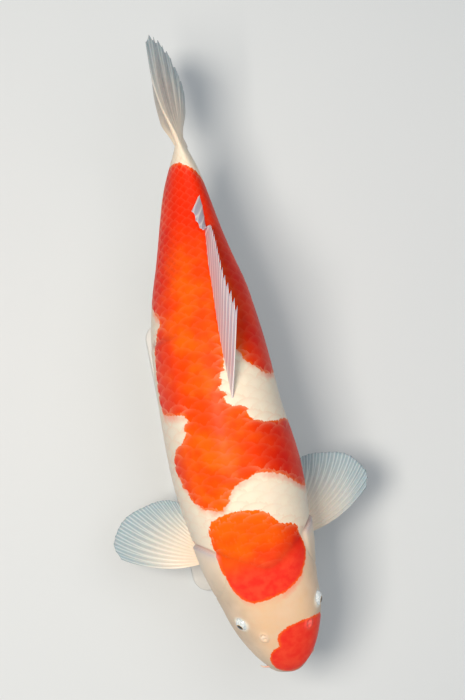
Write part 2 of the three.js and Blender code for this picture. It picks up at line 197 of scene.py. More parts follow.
def tail_swing(w, along):
    """How far the tail stands aside, to the left, at w from -1 at its lower edge to 1 at its
    upper edge: its middle bows to the left and both lobes swing to the right, each by its own
    bend, with an eased change from one to the other."""
    upper = ease(w, -0.3, 0.3)
    bend = lower_bend(along) + (upper_bend(along) - lower_bend(along)) * upper
    return (17 - (37 - 5 * upper) * w**2) * bend


# ---- meshes ---------------------------------------------------------------------------


def ring_faces(rings, count, start, end):
    """Quads between closed rings of count points, and a fan onto a point at each end."""
    r, k = np.meshgrid(np.arange(rings - 1), np.arange(count), indexing="ij")
    here, there = r * count, (r + 1) * count
    nxt = (k + 1) % count
    quads = np.stack([here + k, here + nxt, there + nxt, there + k], -1).reshape(-1, 4)
    k = np.arange(count)
    nxt = (k + 1) % count
    last = (rings - 1) * count
    fans = np.concatenate([
        np.stack([nxt, k, np.full(count, start)], -1),
        np.stack([last + k, last + nxt, np.full(count, end)], -1),
    ])
    return quads.tolist() + fans.tolist()


def strip_across(back, reach):
    """Faces that close a ring edge to edge, from its right half to the mirrored points of its
    left. back is its point on the midline and reach the number of points on each side."""
    middle = [(back + m, back + m + 1, back - m - 1, back - m) for m in range(1, reach)]
    return [(back, back + 1, back - 1)] + middle + [(back + reach, back + reach + 1, back - reach)]


def sheet_quads(grid):
    """Quads between neighbours in a grid of point numbers."""
    return np.stack([grid[:-1, :-1], grid[1:, :-1], grid[1:, 1:], grid[:-1, 1:]], -1).reshape(-1, 4)


def faces_outwards(points, faces):
    """True if the closed mesh's signed volume, the sum of corner triple products, is positive."""
    fans = np.array([(f[0], f[i], f[i + 1]) for f in faces for i in range(1, len(f) - 1)])
    a, b, c = (points[fans[:, i]] - points.mean(0) for i in range(3))
    return np.einsum("ij,ij->", a, np.cross(b, c)) > 0


def add_piece(name, points, faces, finish, values=(), bake_map=None, sharp=None):
    """A smooth closed mesh at the origin, from points in metres and faces, turned to face out.
    values are named numbers at its points, and bake_map one place for each point on OFBake."""
    points = np.asarray(points, float).reshape(-1, 3)
    if not faces_outwards(points, faces):
        faces = [f[::-1] for f in faces]
    mesh = bpy.data.meshes.new(name)
    mesh.from_pydata(points, [], faces)
    for key, numbers in dict(values).items():
        layer = mesh.attributes.new(key, "FLOAT", "POINT")
        layer.data.foreach_set("value", np.asarray(numbers, np.float32).ravel())
    if bake_map is not None:
        corner = np.empty(len(mesh.loops), np.int32)
        mesh.loops.foreach_get("vertex_index", corner)
        layer = mesh.uv_layers.new(name="OFBake")
        layer.data.foreach_set("uv", np.asarray(bake_map, np.float32)[corner].ravel())
    mesh.shade_smooth()
    if sharp:
        mesh.set_sharp_from_angle(angle=np.radians(sharp))
    mesh.materials.append(finish)
    piece = bpy.data.objects.new(name, mesh)
    bpy.context.scene.collection.objects.link(piece)
    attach(piece, "root")
    return piece


# ---- markings -------------------------------------------------------------------------

# Outlines of the red patches, as (distance behind the snout, degrees from the back).
NOSE_PATCH = [
    (55, 60), (55, 10), (45, -12), (35, -14), (30, -30), (20, -45), (5, -60), (-6, 20),
    (10, 118), (35, 97), (48, 78),
]
HEAD_PATCH = [
    (190, -20), (185, -40), (165, -50), (120, -47), (98, -36), (90, -20), (90, 0), (98, 22),
    (110, 35), (128, 43), (145, 40), (160, 35), (165, 20), (185, 5), (188, -5),
]
BODY_PATCH = [
    # the shoulders and the right flank, back to the stalk
    (193, -25), (200, -47), (225, -62), (255, -73), (280, -50), (300, -45), (300, -65),
    (305, -83), (325, -88), (380, -80), (398, -68), (410, -83), (425, -100), (460, -109),
    (545, -106), (565, -90),
    # over the stalk and forwards along the left flank
    (567, -35), (560, 15), (545, 60), (520, 90), (480, 105), (380, 108), (340, 100),
    # the white bay beside the dorsal fin, the left shoulder and the white bay behind the nape
    (325, 70), (325, 45), (345, 20), (372, 3), (345, -1), (322, -8), (300, -2), (300, 8),
    (280, 14), (272, 35), (265, 85), (240, 105), (212, 100), (195, 80), (195, 65), (215, 30),
    (223, 10), (215, -9),
]
CURVE_STEPS = 4                # sides that a curved outline has from one point to the next
SOFT_EDGE = 8                  # white scales let red show through over this much of its front edge


def curved(points):
    """A closed outline drawn as a smooth curve through its points."""
    turns = np.arange(len(points) * CURVE_STEPS) / CURVE_STEPS
    columns = zip(*points, points[0])
    return np.column_stack([smooth(list(enumerate(column)))(turns) for column in columns])


def inside_distance(outline, along, angle):
    """Millimetres from the outline on the unrolled skin, positive inside: the distance to the
    nearest side, signed by whether the sides are crossed an odd number of times."""
    corners = outline.copy()
    corners[:, 1] = np.radians(corners[:, 1]) * girth_radius(np.maximum(corners[:, 0], 0))
    x = np.asarray(along, float).ravel()
    y = (angle * girth_radius(along)).ravel()
    nearest = np.full(x.shape, np.inf)
    odd = np.zeros(x.shape, bool)
    for (ax, ay), (bx, by) in zip(corners, np.roll(corners, -1, 0)):
        dx, dy = bx - ax, by - ay
        t = np.clip(((x - ax) * dx + (y - ay) * dy) / (dx * dx + dy * dy), 0, 1)
        nearest = np.minimum(nearest, np.hypot(x - ax - t * dx, y - ay - t * dy))
        if ay != by:
            odd ^= ((ay > y) != (by > y)) & (x < (bx - ax) * (y - ay) / (by - ay) + ax)
    return np.where(odd, nearest, -nearest).reshape(np.shape(along))


def red_distance(along, angle):
    """Millimetres inside the nearest red patch, negative outside."""
    along, angle = np.broadcast_arrays(along, angle)
    patches = (NOSE_PATCH, HEAD_PATCH, BODY_PATCH)
    return np.max([inside_distance(curved(patch), along, angle) for patch in patches], 0)


def marking_values(along, angle):
    """Named numbers from which the skin's and the scales' shader draw the same markings and the same painted
    shade.
    """
    along, angle = np.broadcast_arrays(along, np.where(angle > pi, angle - 2 * pi, angle))
    angle = np.where(angle < -pi, angle + 2 * pi, angle)
    return {
        "red": red_distance(along, angle),
        "fore": red_distance(along + SOFT_EDGE, angle),
        "along": along,
        "low": np.abs(angle) / pi,
        "side": angle / pi,
        "painted_shade": painted_shade_at(along, angle),
    }


# ---- finishes -------------------------------------------------------------------------


def colour(text):
    """An sRGB hex colour as linear red, green, blue and alpha."""
    channels = np.array([int(text[i:i + 2], 16) for i in (1, 3, 5)]) / 255
    linear = np.where(channels <= 0.04045, channels / 12.92, ((channels + 0.055) / 1.055) ** 2.4)
    return (*linear, 1.0)


def node(tree, kind, settings=(), inputs=()):
    """Adds a shader node; inputs are plain values, or another node's output to link."""
    new = tree.nodes.new("ShaderNode" + kind)
    for key, value in dict(settings).items():
        setattr(new, key, value)
    for key, value in dict(inputs).items():
        if isinstance(value, bpy.types.NodeSocket):
            tree.links.new(value, new.inputs[key])
        else:
            new.inputs[key].default_value = value
    return new


FACTOR, FIRST, SECOND, MIXED = 0, 6, 7, 2      # sockets of a Mix node set to colour


def blend(tree, factor, first, second):
    """The output of a colour Mix node."""
    mixed = node(tree, "Mix", {"data_type": "RGBA"}, {FACTOR: factor, FIRST: first, SECOND: second})
    return mixed.outputs[MIXED]


def share(tree, value, low, high):
    """A value mapped from low and high to 0 and 1, eased."""
    mapped = node(tree, "MapRange", {"interpolation_type": "SMOOTHSTEP"},
                  {"Value": value, "From Min": low, "From Max": high})
    return mapped.outputs["Result"]


def scaled(tree, value, factor, add=0.0):
    return node(tree, "Math", {"operation": "MULTIPLY_ADD"}, {0: value, 1: factor, 2: add}).outputs[0]


def plus(tree, first, second):
    return node(tree, "Math", {"operation": "ADD"}, {0: first, 1: second}).outputs[0]


def times(tree, first, second):
    return node(tree, "Math", {"operation": "MULTIPLY"}, {0: first, 1: second}).outputs[0]


def value_of(tree, name):
    return node(tree, "Attribute", {"attribute_name": name}).outputs["Fac"]


def grain(tree, size_mm, detail=2.0, stretch=None):
    """Soft noise in object coordinates with cells of the given size in millimetres."""
    where = node(tree, "TexCoord").outputs["Object"]
    if stretch:
        where = node(tree, "Mapping", {}, {"Vector": where, "Scale": stretch}).outputs["Vector"]
    sockets = {"Vector": where, "Scale": 1 / (size_mm * MM), "Detail": detail}
    return node(tree, "TexNoise", {}, sockets).outputs[0]


def new_finish(name, **sockets):
    """A material with one Principled shader; returns the material, its tree and the shader."""
    material = bpy.data.materials.new(name)
    material.use_nodes = True
    tree = material.node_tree
    shader = tree.nodes["Principled BSDF"]
    for key, value in sockets.items():
        shader.inputs[key.replace("_", " ")].default_value = value
    return material, tree, shader


def roughen(tree, shader, height, depth_mm, strength=1.0):
    """Adds a bump of the given height, in millimetres."""
    bump = node(tree, "Bump", {}, {"Height": height, "Distance": depth_mm * MM, "Strength": strength})
    tree.links.new(bump.outputs["Normal"], shader.inputs["Normal"])


def koi_skin(name, on_scales):
    """Koi skin under clear lacquer: a wet satin gloss over soft flesh. White is warm on the
    back and peach on the head, and greys to a cool tone towards the belly and cheeks as painted
    shade; red runs from scarlet on the head and flanks to orange along the back, partly its own
    colour and partly painted light and shade. Painted shade also darkens the gill slit, the nape
    and the flank's crease and wrinkles. The edges of the red wander by a millimetre or two."""
    material, tree, shader = new_finish(
        name, Roughness=0.42, IOR=1.33, Specular_IOR_Level=0.12, Coat_Weight=0.03, Coat_Roughness=0.22,
        Subsurface_Weight=0.1, Subsurface_Scale=0.002)
    shader.inputs["Subsurface Radius"].default_value = (1.0, 0.35, 0.2)
    along = value_of(tree, "along")
    low = value_of(tree, "low")
    mottle = grain(tree, 9, 3)
    clouds = grain(tree, 34, 3)

    # Painted shade: the white greys down the sides towards the belly, and the head's peach greys towards the
    # cheeks and throat, where less light falls.
    body_white = blend(tree, share(tree, low, 0.16, 0.55), colour("#FFEDD4"), colour("#DED5C9"))
    head_white = blend(tree, share(tree, low, 0.1, 0.36), colour("#F0C69C"), colour("#CCB8A2"))
    head_white = blend(tree, scaled(tree, share(tree, clouds, 0.4, 0.7), 0.35), head_white, colour("#F7D9BE"))
    white = blend(tree, share(tree, along, 96, 178), head_white, body_white)
    white = blend(tree, scaled(tree, mottle, 0.5, -0.1), white, colour("#EBD6BC"))

    back_red = blend(tree, share(tree, clouds, 0.34, 0.68), colour("#FF4604"), colour("#FF6408"))
    back_red = blend(tree, share(tree, along, 430, 520), back_red, colour("#F82E08"))
    # Partly the koi's own colour, partly painted light and shade: the red deepens to scarlet down the sides,
    # and the orange along the back is set off towards the fish's right side, where the light falls.
    shaded_side_red = blend(tree, share(tree, clouds, 0.3, 0.7), colour("#DC1A06"), colour("#EE300A"))
    off_centre = scaled(tree, value_of(tree, "side"), 1, 0.12)
    aside = node(tree, "Math", {"operation": "ABSOLUTE"}, {0: off_centre}).outputs[0]
    body_red = blend(tree, share(tree, aside, 0.08, 0.34), back_red, shaded_side_red)
    crown = times(tree, share(tree, along, 200, 188), share(tree, along, 142, 182))
    body_red = blend(tree, scaled(tree, crown, 0.7), body_red, colour("#FF6A0A"))
    head_red = blend(tree, share(tree, mottle, 0.3, 0.75), colour("#FA3426"), colour("#FF4C32"))
    red = blend(tree, share(tree, along, 112, 150), head_red, body_red)

    wander = scaled(tree, plus(tree, grain(tree, 5, 2), scaled(tree, grain(tree, 2, 1), 0.4)), 4.2, -2.9)
    depth = plus(tree, value_of(tree, "red"), wander)
    ahead_of_red = plus(tree, value_of(tree, "fore"), wander)
    unevenly = scaled(tree, share(tree, clouds, 0.4, 0.6), 0.55, 0.2)
    blush = times(tree, share(tree, ahead_of_red, -1, SOFT_EDGE), unevenly)
    white = blend(tree, blush, white, colour("#F98A70"))
    edge_share = scaled(tree, share(tree, depth, 3.5, 0.5), 0.45)
    red = blend(tree, edge_share, red, colour("#FF7A12"))
    skin = blend(tree, share(tree, depth, -0.5, 0.5), white, red)
    if on_scales:
        inside_edge = scaled(tree, share(tree, depth, 14, 1), 0.26, 0.05)
        outside = scaled(tree, share(tree, depth, -16, -1), 0.22, -0.22)
        on_flank = scaled(tree, share(tree, low, 0.3, 0.5), 0.13)
        rim_share = plus(tree, plus(tree, inside_edge, outside), on_flank)
        skin = blend(tree, times(tree, value_of(tree, "rim"), rim_share), skin, colour("#F9B48E"))
    else:
        skin = blend(tree, value_of(tree, "pale"), skin, colour("#F6F1E6"))
        skin = blend(tree, value_of(tree, "lilac"), skin, colour("#BBB0B8"))
    # Painted shade: deep red laid into the gill slit, along the nape, into the right flank's crease and
    # wrinkle troughs, and on the lateral-line pores.
    skin = blend(tree, scaled(tree, value_of(tree, "painted_shade"), 0.4), skin, colour("#A81C12"))
    tree.links.new(skin, shader.inputs["Base Color"])
    roughen(tree, shader, grain(tree, 1.3, 2), 0.05, 0.5)
    return material


def fin_web():
    """Fin rays and web: thin translucent skin, creamy over the fleshy root and clear towards the
    edge, where a painted blue-grey stands in for blue light seen through the web, with paler bony
    rays. Painted shade greys and browns the tail."""
    material, tree, shader = new_finish(
        "clear_lacquered_fin_web", Roughness=0.35, IOR=1.4, Coat_Weight=0.2, Coat_Roughness=0.2,
        Subsurface_Weight=0.1, Subsurface_Scale=0.002)
    out = value_of(tree, "out")
    ray = value_of(tree, "ray")
    streaks = grain(tree, 4, 2)
    lilac = value_of(tree, "lilac")
    # Painted light: the cool blue-grey towards the margin of web and rays stands in for blue light seen
    # through the thin fin.
    web = blend(tree, share(tree, out, 0.1, 1.0), colour("#EFDABF"), colour("#92AEBA"))
    bone = blend(tree, share(tree, out, 0.15, 1.0), colour("#F4E2C8"), colour("#CCDADC"))
    fin = blend(tree, scaled(tree, ray, 0.7), web, bone)
    # Painted shade from the shade values: greys the tail away from its root, more on the lower lobe, and
    # browns it beside its stout edge rays.
    fin = blend(tree, scaled(tree, value_of(tree, "shade"), 0.8), fin, colour("#938B88"))
    fin = blend(tree, scaled(tree, streaks, 0.25), fin, colour("#EFE8DD"))
    ribbed = blend(tree, ray, colour("#B8A9B8"), colour("#EDE2E2"))
    fin = blend(tree, scaled(tree, lilac, 0.85), fin, ribbed)
    tree.links.new(fin, shader.inputs["Base Color"])
    clear = scaled(tree, share(tree, out, 0.35, 1.0), -0.22, 1.0)
    solid = plus(tree, plus(tree, clear, scaled(tree, ray, 0.15)), scaled(tree, lilac, 0.2))
    tree.links.new(solid, shader.inputs["Alpha"])
    roughen(tree, shader, grain(tree, 1.5, 2), 0.05, 0.4)
    return material


def eye_glass():
    """Eyeball under a clear glossy cornea: black pupil, thin gold ring and silver-white iris."""
    material, tree, shader = new_finish("glossy_silver_eye", Roughness=0.12, IOR=1.38, Coat_Weight=1.0)
    shader.inputs["Coat Roughness"].default_value = 0.03
    gaze = plus(tree, value_of(tree, "gaze"), scaled(tree, grain(tree, 1.2, 2), 3, -1.5))
    iris = blend(tree, share(tree, grain(tree, 1.6, 3), 0.35, 0.7), colour("#C4CFD2"), colour("#F4F8F7"))
    iris = blend(tree, share(tree, gaze, 78, 100), iris, colour("#9DA0A4"))
    ring = blend(tree, share(tree, gaze, 27, 31), colour("#C79A4C"), iris)
    eye = blend(tree, share(tree, gaze, 24.5, 26.5), colour("#07090B"), ring)
    tree.links.new(eye, shader.inputs["Base Color"])
    return material


def barbel_skin():
    """Barbels: soft wet flesh, pink at the root and paler at the tip."""
    material, tree, shader = new_finish(
        "wet_barbel_skin", Roughness=0.35, Coat_Weight=0.3, Coat_Roughness=0.15, Subsurface_Weight=0.2)
    shader.inputs["Subsurface Scale"].default_value = 0.002
    flesh = blend(tree, share(tree, value_of(tree, "out"), 0.0, 1.0), colour("#EFA88E"), colour("#F3D8C6"))
    flesh = blend(tree, scaled(tree, grain(tree, 2, 2), 0.3), flesh, colour("#F2DCCB"))
    tree.links.new(flesh, shader.inputs["Base Color"])
    return material


def lacquered_board():
    """Sprayed pale grey lacquer on board: an even satin with a faint orange-peel ripple."""
    material, tree, shader = new_finish("sprayed_grey_lacquer", Roughness=0.42, Coat_Weight=0.15)
    shade = blend(tree, grain(tree, 60, 2), colour("#D3D2CE"), colour("#DDDCD8"))
    tree.links.new(shade, shader.inputs["Base Color"])
    roughen(tree, shader, grain(tree, 2.5, 2), 0.03, 0.5)
    return material


def turned_steel():
    """Stainless steel turned and brushed round its axis: fine rings that blur the gloss."""
    material, tree, shader = new_finish("turned_stainless_steel", Metallic=1.0, Roughness=0.3)
    rings = grain(tree, 1.0, 2, stretch=(0.15, 0.15, 2.5))
    shade = blend(tree, rings, colour("#A9ABAD"), colour("#C6C7C8"))
    tree.links.new(shade, shader.inputs["Base Color"])
    rough = scaled(tree, rings, 0.2, 0.2)
    tree.links.new(rough, shader.inputs["Roughness"])
    return material


SKIN = koi_skin("lacquered_koi_skin", False)
SCALE_SKIN = koi_skin("lacquered_koi_scales", True)
FIN_WEB = fin_web()
EYE_GLASS = eye_glass()
BARBEL_SKIN = barbel_skin()
LACQUER = lacquered_board()
STEEL = turned_steel()

# ---- skin -----------------------------------------------------------------------------

COAT_DEPTH = 0.8               # the skin under the scales lies this far inside the solids
HEAD_DEPTH = 0.2               # the bare skin of the head lies this far inside them
LIPS = {                       # front, level, radius at the middle and at the corners, and the
    "upper": (4, -17.5, 5.2, 1.9, 20, 24, 15),       # corner's along, across and drop
    "lower": (8, -28, 4.4, 1.6, 21, 22.5, 8.5),
}
MOUTH = (4, -23.2, 0, 0, 20.5, 24.5, 11.6)
EYE_AXIS = np.array([0.87, -0.18, 0.46])
LID_RADIUS, LID_RISE = 7.7, 4.1
NOSTRIL = (49, 30)             # behind the snout, and degrees from the back
SKIN_RINGS, HALF_RING = 338, 135           # rings of skin, and points from the back to the belly


def lip_line(front, level, thick, thin, along, across, drop):
    """Points and radii of a lip: it bends round the snout, sinking to its corners."""
    turn = np.linspace(-pi / 2, pi / 2, 61)
    line = np.stack([
        across * np.sin(turn),
        front + (along - front) * (1 - np.cos(turn)),
        level - drop * np.sin(turn) ** 2,
    ], -1)
    return line, thin + (thick - thin) * np.abs(np.cos(turn)) ** 0.7


def raise_over(points, normals, line, radius):
    """Lifts the skin along its normals onto the tube round a line."""
    to_line = line[:, None, None] - points[None]
    lean = np.einsum("lijk,ijk->lij", to_line, normals)
    spare = radius[:, None, None] ** 2 - (np.einsum("lijk,lijk->lij", to_line, to_line) - lean**2)
    lift = np.where(spare > 0, lean + np.sqrt(np.maximum(spare, 0)), -9).max(0)
    return over(lift, 0, 1.2) - 0.04


def groove_along(points, normals, line, depth, width):
    """Sinks the skin within reach of a line, measured square to its normals."""
    to_line = line[:, None, None] - points[None]
    lean = np.einsum("lijk,ijk->lij", to_line, normals)
    aside = np.sqrt(np.maximum(np.einsum("lijk,lijk->lij", to_line, to_line) - lean**2, 0))
    aside = np.where(np.abs(lean) < 9, aside, 99).min(0)
    return -depth * bell(aside, width)


def surface_normals(points):
    """Unit normals of a grid of rings in body coordinates, facing out."""
    round_body = np.roll(points, -1, 1) - np.roll(points, 1, 1)
    backwards = np.gradient(points, axis=0)
    return unit(np.cross(round_body, backwards))


def gill_place(along, angle):
    """Where a point lies on the gill cover: millimetres in front of its rear edge, the cover's
    width there, and how far up or down the cover it is, from -1 to 1."""
    offset = (np.degrees(np.abs(angle)) - 92) / 48.5
    width = 57 * np.sqrt(np.maximum(1 - offset**2, 0))
    return head_end(angle) - along, width, offset


def head_relief(along, angle):
    """Heights on the head, in millimetres: the gill cover stands up to its rear edge and a
    slit runs behind it and on across the throat; its front edge is a faint furrow; the nape is
    a soft dip."""
    ahead, width, offset = gill_place(along, angle)
    on_cover = ease(1 - np.abs(offset), 0, 0.12)
    plate = 1.5 * ease(ahead, -0.4, 0.5) * (1 - ease(ahead, width * 0.4, width + 4)) * on_cover
    slit = -2.0 * bell(ahead + 2.0, 1.7) * ease(1 - np.abs(offset), 0, 0.4)
    furrow = -0.7 * bell(ahead - width, 1.8) * on_cover * ease(width, 8, 30)
    nape = -0.9 * bell(ahead - 1.5, 7) * (1 - ease(np.abs(angle), 0.75, 0.95))
    cheek = -0.6 * bell(along - 88, 9) * bell(np.abs(angle) - 1.45, 0.4)
    throat_at = 99 + 44 * np.clip((pi - np.abs(angle)) / 0.7, 0, 1) ** 0.8
    throat = -1.5 * bell(along - throat_at, 1.6) * ease(np.abs(angle), 2.38, 2.5)
    return plate + slit + furrow + nape + cheek + throat


def painted_shade_at(along, angle):
    """How much painted shade a place gets, from 0 to 1, in the gill slit, along the nape, and in the
    crease and wrinkles of the right flank."""
    ahead, _, offset = gill_place(along, angle)
    reach, across, wrinkle = flank_places(along, angle)
    folds = 0.75 * reach * bell(across + 0.3, 2.6) + 0.45 * np.clip(-wrinkle, 0, 1)
    nape = bell(ahead + 0.5, 7) * (1 - ease(np.abs(angle), 0.7, 0.95))
    return bell(ahead + 1.9, 1.6) * ease(1 - np.abs(offset), 0, 0.2) + 0.45 * nape + folds


def tuck(along, angle):
    """How far scales dip, in millimetres, to pass under the gill cover or under the nape."""
    ahead, _, offset = gill_place(along, angle)
    gill = -2.3 * ease(ahead, -5.5, -1.5) * ease(1 - np.abs(offset), 0, 0.12)
    return gill - 1.0 * ease(ahead, -6.5, 0.5) * (1 - ease(np.abs(angle), 0.75, 0.95))


def flank_places(along, angle):
    """Where a point lies on the right flank's folds: how far the crease reaches there, its
    distance behind the crease, and the height of the fine slanting wrinkles from -1 to 1."""
    reach = ease(-angle, 0.55, 1.05) * (1 - ease(-angle, 1.6, 2.0))
    wrinkle = np.sin(2 * pi * (along + 35 * angle) / 8.5) * bell(along - 462, 34)
    wrinkle = wrinkle * ease(-angle, 0.4, 0.8) * (1 - ease(-angle, 1.4, 1.8))
    return reach, along - 379 - 6 * (angle + 1.2), wrinkle


def flank_fold(along, angle):
    """Where the body bends, a crease crosses the right flank with a fold in front of it, and
    fine slanting wrinkles follow behind."""
    reach, across, wrinkle = flank_places(along, angle)
    return reach * (-0.9 * bell(across, 2.6) + 0.9 * bell(across + 4.5, 3.5)) + 0.35 * wrinkle


def muscle(along, angle):
    """Low swells of flesh, so that no long stretch of the body is quite even."""
    return 0.35 * np.sin(along / 31 + 2 * np.sin(3 * angle)) * np.sin(2 * angle + along / 67)


def raise_lid(points, side):
    """Shapes the rim of one eye: a low volcano round the eye's axis, open over the eyeball."""
    axis = unit(EYE_AXIS * (side, 1, 1))
    from_eye = points - EYE * (side, 1, 1)
    out = from_eye @ axis
    aside = np.linalg.norm(from_eye - out[..., None] * axis, axis=-1)
    beyond = aside - LID_RADIUS
    slope = over(LID_RISE - 0.5 * beyond - 0.09 * beyond**2, out, 1.0)
    socket = LID_RISE + 0.1 - 5 * ease(-beyond, 0, 1.5)
    target = np.where(beyond < 0, socket, slope)
    near = (out > -3) & (aside < 17) & (from_eye[..., 0] * side > -12)
    return points + np.where(near, target - out, 0)[..., None] * axis


def nostril_relief(points, side):
    """A nostril: an oval rim round a front and a rear pit, with a flap of skin between them."""
    centre = flank(NOSTRIL[0], side * np.radians(NOSTRIL[1]), -HEAD_DEPTH)
    away = points - centre
    back, aside = away[..., 1] * 1.15, away[..., 0] * 0.87 - away[..., 2] * side * 0.5
    reach = np.hypot(back / 1.25, aside)
    rim = 1.1 * bell(reach - 4.1, 1.4)
    pits = -2.0 * bell(np.hypot(back - 2.6, aside), 1.6) - 1.8 * bell(np.hypot(back + 2.6, aside), 1.4)
    flap = 1.3 * bell(np.hypot(back + 0.2, aside / 1.9), 1.2)
    return (rim + pits + flap) * (np.abs(away).max(-1) < 12)


def spread(count, start, end, density):
    """count places from start to end, closer together where density is high."""
    fine = np.linspace(start, end, 4000)
    total = np.cumsum(density(fine))
    return np.interp(np.linspace(total[0], total[-1], count), total, fine)


def skin_rows(count):
    """Distances behind the snout for the rings of skin: even steps over the surface, with more
    of them on the head and most of all by the eyes and nostrils."""
    fine = np.concatenate([[0.005], np.linspace(0.07, BODY_LENGTH**0.5, 6000) ** 2])
    line = flank(fine, np.radians(60))
    step = np.linalg.norm(np.diff(line, axis=0), axis=1)
    middle = (fine[1:] + fine[:-1]) / 2
    density = 0.36 + 0.64 * (1 - ease(middle, 158, 176)) + 0.9 * bell(middle - EYE[1], 10)
    density = density + 0.45 * bell(middle - NOSTRIL[0], 7) + 0.5 * (1 - ease(middle, 14, 30))
    total = np.concatenate([[0], np.cumsum(step * density)])
    rows = np.interp(np.linspace(0, total[-1], count - 8), total, fine)
    return np.concatenate([rows, BODY_LENGTH + SHEATH * np.linspace(0, 1, 9)[1:]])


def over_tail_root(points):
    """Carries skin and scales past the stalk's end: they thin and sink into the tail's root,
    following its bow. In front of the stalk's end nothing changes."""
    beyond = np.maximum(points[..., 1] - BODY_LENGTH, 0)
    thin = ease(beyond, 0, SHEATH)
    height = points[..., 2] * (1 - 0.1 * thin)
    edge = TAIL_ROOT + beyond * np.sin(TAIL_FAN)
    middle = tail_swing(np.clip(height / edge, -1, 1), beyond)
    across = points[..., 0] * (1 - 0.97 * thin) + np.where(beyond > 0, middle, 0)
    return np.stack([across, points[..., 1], height], -1)


def make_skin():
    """One closed skin from the snout to the root of the tail: the body's surface, sunk by the
    depth of the scales behind the head, with the head's features pressed into it."""
    half = spread(HALF_RING, 0, pi, lambda a: 1 + 1.1 * bell(a - 1.0, 0.3) + 0.5 * bell(a - 0.52, 0.16))
    angle = np.concatenate([-half[-2:0:-1], half])
    along = skin_rows(SKIN_RINGS)
    angle, along = np.meshgrid(angle, along)
    on_nape = 1 - ease(np.abs(angle), 0.7, 0.95)
    on_trunk = ease(along - head_end(angle), -0.5 - 7 * on_nape, 1.0 + 2 * on_nape)
    depth = HEAD_DEPTH + (COAT_DEPTH - HEAD_DEPTH) * on_trunk
    points = flank(along, angle, 0.0)
    normals = surface_normals(points)
    lift = head_relief(along, angle) + flank_fold(along, angle) + muscle(along, angle) - depth
    for side in (1, -1):
        lift = lift + nostril_relief(points, side)
    points = points + normals * lift[..., None]

    front = along[:, 0] < 52
    for name in ("upper", "lower"):
        line, radius = lip_line(*LIPS[name])
        lift = raise_over(points[front], normals[front], line, radius)
        points[front] += normals[front] * lift[..., None]
    line, _ = lip_line(*MOUTH)
    lift = groove_along(points[front], normals[front], line, 2.6, 1.15)
    points[front] += normals[front] * lift[..., None]
    for side in (1, -1):
        points = raise_lid(points, side)
    points = over_tail_root(points)

    ahead, _, offset = gill_place(along, angle)
    on_cover = ease(1 - np.abs(offset), 0, 0.2)
    lilac = (0.5 * bell(ahead - 0.3, 2.4) + 0.3 * bell(ahead - 3, 6) * (ahead > 0)) * on_cover
    for name in ("upper", "lower"):
        line, radius = lip_line(*LIPS[name])
        from_lip = np.linalg.norm(points[front][..., None, :] - line, axis=-1) - radius
        lilac[front] = np.maximum(lilac[front], 0.3 * bell(np.maximum(from_lip.min(-1), 0), 1.3))
    beside_eye = np.min([np.linalg.norm(points - EYE * (side, 1, 1), axis=-1) for side in (1, -1)], 0)
    pale = 0.85 * bell(beside_eye - EYE_RADIUS, 1.9)
    for side, strength in ((1, 0.2), (-1, 0.45)):
        centre = flank(NOSTRIL[0], side * np.radians(NOSTRIL[1]))
        pale = np.maximum(pale, strength * bell(np.linalg.norm(points - centre, axis=-1), 4.6))

    rings, count = along.shape
    world = placed(points).reshape(-1, 3)
    snout = world[:count].mean(0)
    faces = ring_faces(rings, count, len(world), len(world))[:-count]
    faces += strip_across((rings - 1) * count + HALF_RING - 2, HALF_RING - 2)
    values = {**marking_values(along, angle), "lilac": lilac, "pale": pale}
    for key, numbers in values.items():
        values[key] = np.append(numbers.ravel(), numbers[0].mean())
    skin = add_piece("skin", np.vstack([world, snout]), faces, SKIN, values)
    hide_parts("head", "gill_cover_left", "gill_cover_right", "upper_lip", "lower_lip",
                "trunk_front", "trunk_middle", "trunk_rear", "tail_stalk")


make_skin()

# ---- scales ---------------------------------------------------------------------------

SCALE_ROWS = 26                # rows of scales round the body
LATERAL_ROW = 2 * pi * 6 / SCALE_ROWS      # angle of the row that bears the lateral line
SCALE_RISE = 0.034             # how far a scale rises for each millimetre backwards
SCALE_THICKNESS = 0.2
pitch_at = smooth([(100, 8.5), (150, 10.5), (230, 13), (330, 13), (420, 11.5), (520, 9), (600, 7.5)])


def scale_places():
    """Distance, angle and pitch of every scale: rows run along the body, each half a pitch out
    of step with the next, from the nape and gill covers to the root of the tail."""
    steps = [100.0]
    while steps[-1] < 600:
        steps.append(steps[-1] + pitch_at(steps[-1]) / 2)
    steps = np.array(steps)
    along, angle = [], []
    for row in range(SCALE_ROWS):
        places = steps[row % 2::2]
        row_angle = (row / SCALE_ROWS * 2 - 1) * pi
        places = places[(places > head_end(row_angle) + 1.5) & (places < 586)]
        along.append(places)
        angle.append(np.full(places.shape, row_angle))
    return np.concatenate(along), np.concatenate(angle)


